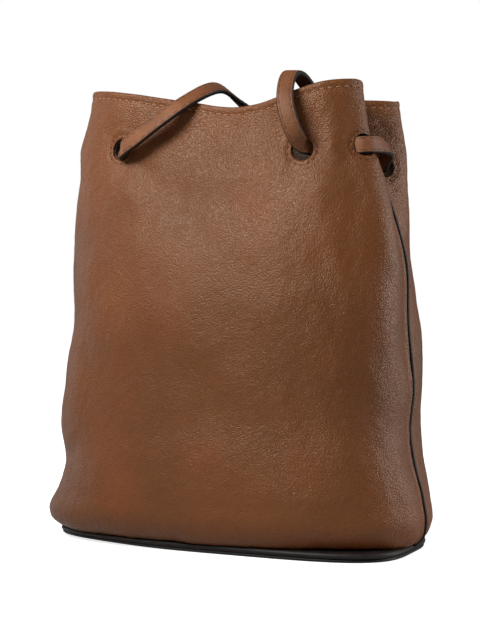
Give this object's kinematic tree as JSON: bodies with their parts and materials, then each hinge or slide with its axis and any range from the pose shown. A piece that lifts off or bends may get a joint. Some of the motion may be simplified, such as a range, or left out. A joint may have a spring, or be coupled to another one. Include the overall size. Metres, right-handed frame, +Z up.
{
  "type": "bucket bag",
  "caption": "Soft leather bucket bag with a gathered mouth, a single flat drawstring strap threaded through holes round the rim and over the top, and a stiffened base.",
  "frame": {"origin": "on the ground under the centre of the base", "axes": "+X along the bag's length to its right, +Y to its back, +Z up"},
  "size_m": [0.2196, 0.1262, 0.2553],
  "materials": {
    "leather": "pebbled full grain, soft sheen",
    "strap_leather": "smooth flat strap leather, stitched on both edges",
    "stay_leather": "unfinished firm leather",
    "edge_paint": "dark painted edge",
    "lining": "woven cotton twill",
    "board": "pressed fibre board"
  },
  "bodies": {
    "bag": {"front_panel": "leather", "back_panel": "leather", "front_facing": "leather", "back_facing": "leather", "front_lining": "lining", "back_lining": "lining", "base_lining": "lining", "right_end_welt": "edge_paint", "left_end_welt": "edge_paint", "base_welt": "edge_paint", "base_sole": "leather", "base_board": "board", "hole_stay_front_left": "stay_leather", "hole_stay_front_right": "stay_leather", "hole_stay_right_front": "stay_leather", "hole_stay_right_back": "stay_leather", "hole_stay_back_right": "stay_leather", "hole_stay_back_left": "stay_leather", "hole_stay_left_back": "stay_leather", "hole_stay_left_front": "stay_leather", "strap_inner_front_right": "strap_leather", "strap_inner_front_left": "strap_leather", "strap_inner_back_right": "strap_leather", "strap_inner_back_left": "strap_leather", "strap_outer_right": "strap_leather", "strap_outer_left": "strap_leather", "strap_outer_back": "strap_leather", "strap_rise_left": "strap_leather", "strap_rise_right": "strap_leather"},
    "strap_bridge": {"strap_bridge_left": "strap_leather", "strap_bridge_right": "strap_leather"},
    "strap_loop": {"strap_loop": "strap_leather"}
  },
  "joints": [
    {"name": "strap_lift", "type": "hinge", "parent": "bag", "child": "strap_bridge", "pos_m": [0, -0.012, 0.253], "axis": [1, 0, 0], "range_deg": [0, 90]},
    {"name": "strap_unfold", "type": "hinge", "parent": "strap_bridge", "child": "strap_loop", "pos_m": [0, 0.0465, 0.2405], "axis": [1, 0, 0], "range_deg": [0, 90]}
  ],
  "couplings": [
    {"joint": "strap_unfold", "follows": "strap_lift", "ratio": 1}
  ]
}
